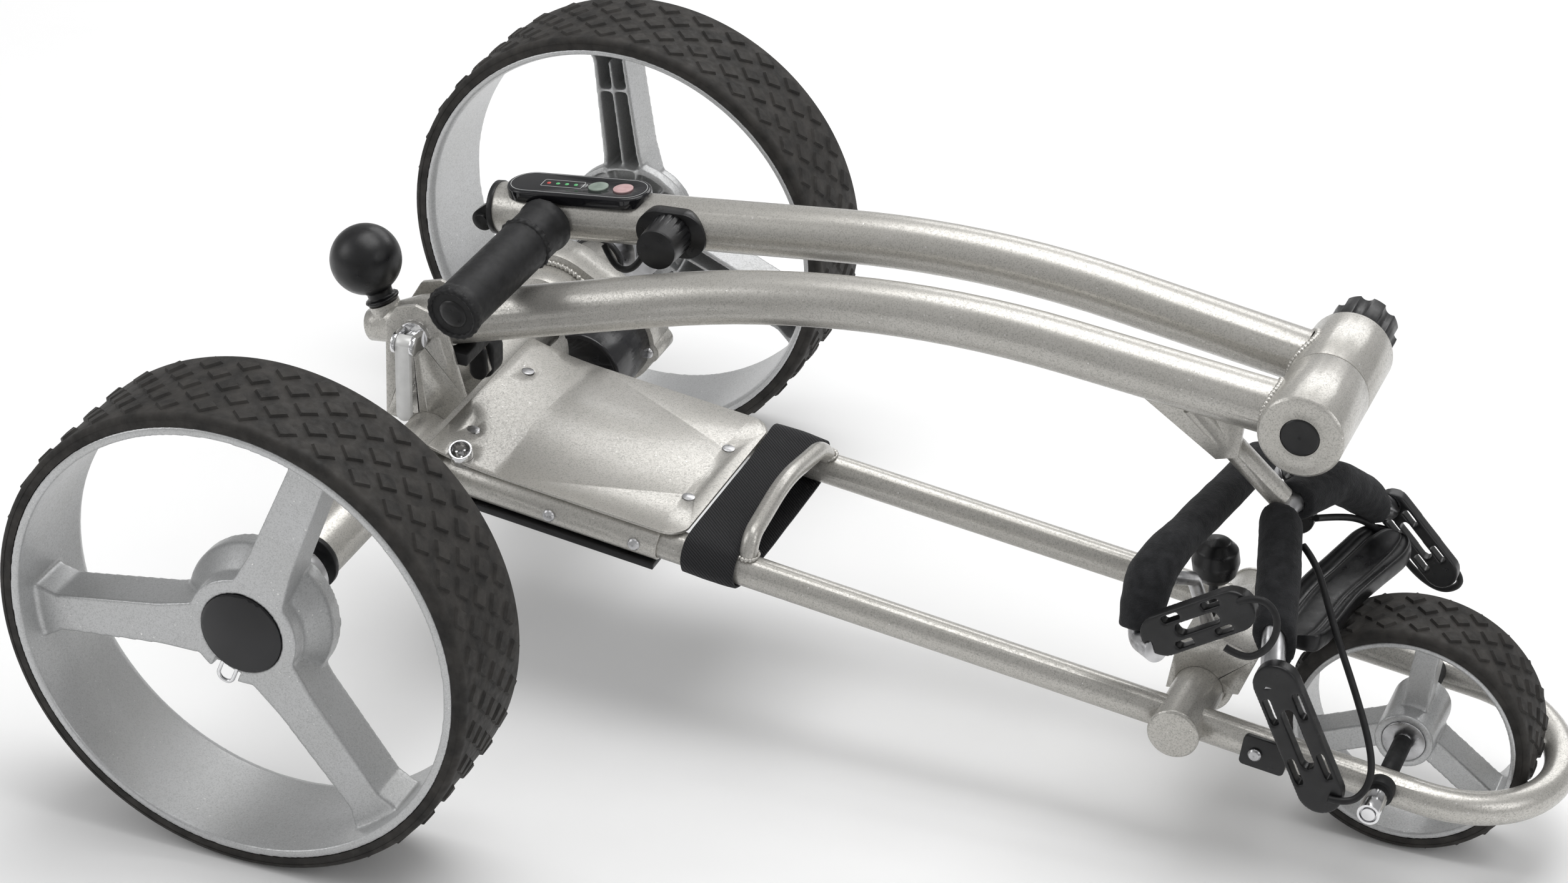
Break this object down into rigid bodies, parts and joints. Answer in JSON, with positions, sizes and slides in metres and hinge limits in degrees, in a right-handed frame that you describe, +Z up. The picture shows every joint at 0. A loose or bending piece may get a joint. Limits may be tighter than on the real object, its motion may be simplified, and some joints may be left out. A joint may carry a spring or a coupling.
{
  "type": "electric golf trolley",
  "caption": "Folded electric golf trolley: silver rail frame, spoked rear wheels, small front wheel, folding two-part mast, control panel, motor, battery deck, bag cradles.",
  "frame": {"origin": "centre of the bounding box's footprint, on the floor under the folded trolley", "axes": "+X forwards from the rear axle to the small front wheel, +Y to the trolley's left, +Z up"},
  "size_m": [0.8633, 0.618, 0.3248],
  "materials": {
    "silver_paint": "fine sparkle satin",
    "wheel_silver": "silver painted, satin",
    "tyre_rubber": "matt, dusty",
    "black_rubber": "matt",
    "black_plastic": "fine grain",
    "gloss_black": "glossy",
    "foam": "soft foam",
    "chrome": "bright plated",
    "steel": "turned",
    "motor_black": "gloss enamel",
    "webbing": "twill weave",
    "button_green": "satin",
    "button_pink": "satin",
    "lever_silver": "satin"
  },
  "bodies": {
    "chassis": {"axle_beam": "silver_paint", "axle_bushes": "black_plastic", "axle_sleeves": "black_rubber", "battery_hoop": "silver_paint", "battery_strap": "webbing", "bottom_tray": "black_plastic", "bracket_plates": "silver_paint", "charge_socket": "chrome", "cover_plate": "silver_paint", "cross_tube": "silver_paint", "cross_tube_caps": "silver_paint", "foot_cradle": "black_plastic", "frame_rails": "silver_paint", "frame_screws": "steel", "front_axle": "chrome", "gearbox_housing": "silver_paint", "lower_bracket": "silver_paint", "lower_bungee": "black_rubber", "lower_cradle_bar": "steel", "lower_foam": "foam", "lower_hooks": "black_plastic", "motor_housing": "motor_black", "pivot_bolt": "chrome", "rail_clip": "black_plastic", "rail_sleeves": "silver_paint", "stop_bumper": "black_rubber"},
    "drive_shaft": {"axle_shaft": "steel", "drive_discs": "steel"},
    "right_wheel": {"right_rim": "wheel_silver", "right_tyre": "tyre_rubber", "right_hub_cap": "gloss_black"},
    "left_wheel": {"left_rim": "wheel_silver", "left_tyre": "tyre_rubber", "left_hub_cap": "gloss_black"},
    "right_clip": {"right_release_clip": "chrome"},
    "left_clip": {"left_release_clip": "chrome"},
    "front_wheel": {"front_rim": "wheel_silver", "front_tyre": "tyre_rubber", "front_bearings": "steel"},
    "mast": {"main_tube": "silver_paint", "hinge_plug": "black_plastic", "upper_cradle_bar": "steel", "upper_foam": "foam", "upper_hooks": "black_plastic", "upper_bungee_near": "black_rubber", "upper_bungee_far": "black_rubber"},
    "mast_knob": {"ball_knob": "black_plastic"},
    "handle": {"handle_tube": "silver_paint", "handle_end_cap": "black_plastic", "grip": "black_rubber", "control_panel": "gloss_black", "dial_saddle": "black_plastic", "dial_cable": "black_rubber"},
    "fold_knob": {"hinge_knob": "black_plastic"},
    "dial": {"speed_dial": "black_plastic"},
    "mode_key": {"mode_button": "button_green"},
    "power_key": {"power_button": "button_pink"},
    "lever": {"cam_lever": "lever_silver"},
    "bracket_knob": {"cradle_knob": "black_plastic"}
  },
  "joints": [
    {"name": "drive_shaft_spin", "type": "hinge", "parent": "chassis", "child": "drive_shaft", "pos_m": [-0.2816, 0, 0.15], "axis": [0, 1, 0], "continuous": true},
    {"name": "right_wheel_spin", "type": "hinge", "parent": "chassis", "child": "right_wheel", "pos_m": [-0.2816, 0, 0.15], "axis": [0, 1, 0], "continuous": true},
    {"name": "left_wheel_spin", "type": "hinge", "parent": "chassis", "child": "left_wheel", "pos_m": [-0.2816, 0, 0.15], "axis": [0, 1, 0], "continuous": true},
    {"name": "right_clip_press", "type": "slide", "parent": "right_wheel", "child": "right_clip", "axis": [0.3746, 0, 0.9272], "range_m": [0, 0.002], "stiffness_N_per_m": 600},
    {"name": "left_clip_press", "type": "slide", "parent": "left_wheel", "child": "left_clip", "axis": [-0.6157, 0, 0.788], "range_m": [0, 0.002], "stiffness_N_per_m": 600},
    {"name": "front_wheel_spin", "type": "hinge", "parent": "chassis", "child": "front_wheel", "pos_m": [0.3334, 0, 0.076], "axis": [0, 1, 0], "continuous": true},
    {"name": "mast_fold", "type": "hinge", "parent": "chassis", "child": "mast", "pos_m": [-0.2906, -0.027, 0.2185], "axis": [0, -1, 0], "range_deg": [0, 75]},
    {"name": "mast_knob_turn", "type": "hinge", "parent": "mast", "child": "mast_knob", "pos_m": [-0.3212, -0.027, 0.225], "axis": [-0.3907, 0, 0.9205], "continuous": true},
    {"name": "handle_fold", "type": "hinge", "parent": "mast", "child": "handle", "pos_m": [0.2619, 0, 0.2807], "axis": [0, 1, 0], "range_deg": [0, 175]},
    {"name": "fold_knob_turn", "type": "hinge", "parent": "mast", "child": "fold_knob", "pos_m": [0.2619, 0, 0.2807], "axis": [0, 1, 0], "continuous": true},
    {"name": "dial_turn", "type": "hinge", "parent": "handle", "child": "dial", "pos_m": [-0.1466, 0, 0.2912], "axis": [0, 1, 0], "continuous": true},
    {"name": "mode_press", "type": "slide", "parent": "handle", "child": "mode_key", "axis": [0.1217, 0, -0.9926], "range_m": [0, 0.001], "stiffness_N_per_m": 300},
    {"name": "power_press", "type": "slide", "parent": "handle", "child": "power_key", "axis": [0.1217, 0, -0.9926], "range_m": [0, 0.001], "stiffness_N_per_m": 300},
    {"name": "lever_turn", "type": "hinge", "parent": "chassis", "child": "lever", "pos_m": [-0.2906, -0.0594, 0.2185], "axis": [-1, 0, 0], "range_deg": [0, 110]},
    {"name": "bracket_knob_turn", "type": "hinge", "parent": "chassis", "child": "bracket_knob", "pos_m": [0.2074, -0.003, 0.15], "axis": [0, 0, 1], "continuous": true}
  ],
  "couplings": [
    {"joint": "drive_shaft_spin", "follows": "right_wheel_spin", "ratio": 1},
    {"joint": "left_wheel_spin", "follows": "right_wheel_spin", "ratio": 1}
  ]
}
